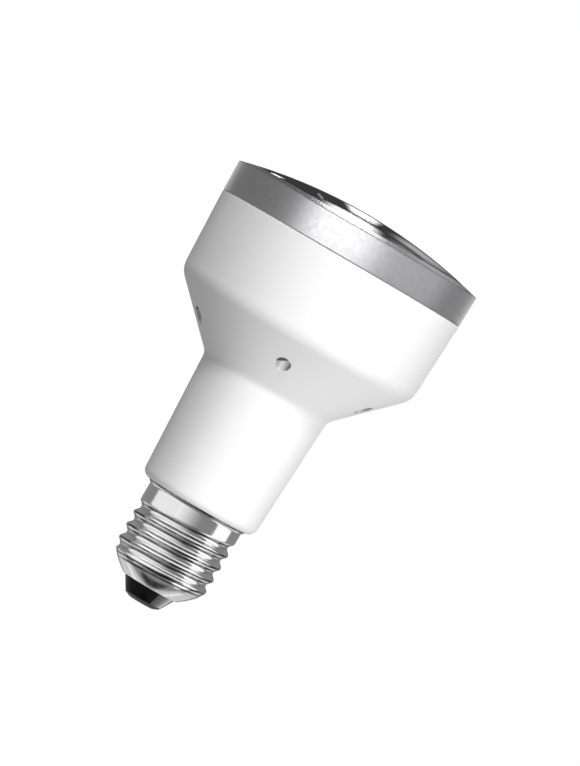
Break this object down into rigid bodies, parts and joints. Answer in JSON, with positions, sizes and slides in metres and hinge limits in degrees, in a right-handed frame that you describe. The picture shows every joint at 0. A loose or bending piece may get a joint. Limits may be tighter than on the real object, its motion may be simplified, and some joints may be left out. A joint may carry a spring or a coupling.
{
  "type": "reflector energy saving bulb",
  "caption": "Energy saving reflector lamp: folded fluorescent tube and ballast in a white funnel housing with a silver band, clear domed front and screw cap.",
  "frame": {"origin": "centre of the contact plate's flat tip, at the cap end", "axes": "+Z along the lamp's axis from the cap to the clear front; +X and +Y across it, the first dimple of the cone close to -Y"},
  "size_m": [0.069, 0.069, 0.1132],
  "materials": {
    "nickel_plate": "polished, rolled thread",
    "black_glass": "glossy opaque",
    "contact_metal": "dull solder",
    "white_plastic": "moulded, soft sheen",
    "silver_band": "satin metallised",
    "clear_front": "clear, polished",
    "bright_reflector": "bright metallised",
    "phosphor_glass": "white coated, satin",
    "holder_plastic": "moulded",
    "board_laminate": "resin paper laminate",
    "ferrite": "dark, matt",
    "enamelled_copper": "wound wire",
    "capacitor_sleeve": "shrunk sleeve",
    "dipped_resin": "dipped",
    "moulded_epoxy": "moulded",
    "tinned_wire": "tinned",
    "fuse_body": "lacquered"
  },
  "bodies": {
    "root": {"cap_shell": "nickel_plate", "cap_insulator": "black_glass", "contact_plate": "contact_metal", "housing": "white_plastic", "bezel_ring": "silver_band", "front_lens": "clear_front", "reflector": "bright_reflector", "discharge_tube": "phosphor_glass", "tube_holder": "holder_plastic", "tube_leads": "tinned_wire", "ballast_board": "board_laminate", "choke_core": "ferrite", "choke_coil": "enamelled_copper", "smoothing_capacitor": "capacitor_sleeve", "film_capacitors": "dipped_resin", "ring_transformer": "ferrite", "transistors": "moulded_epoxy", "rectifier_diodes": "moulded_epoxy", "fuse_resistor": "fuse_body", "contact_lead": "tinned_wire", "shell_lead": "tinned_wire"}
  },
  "joints": []
}
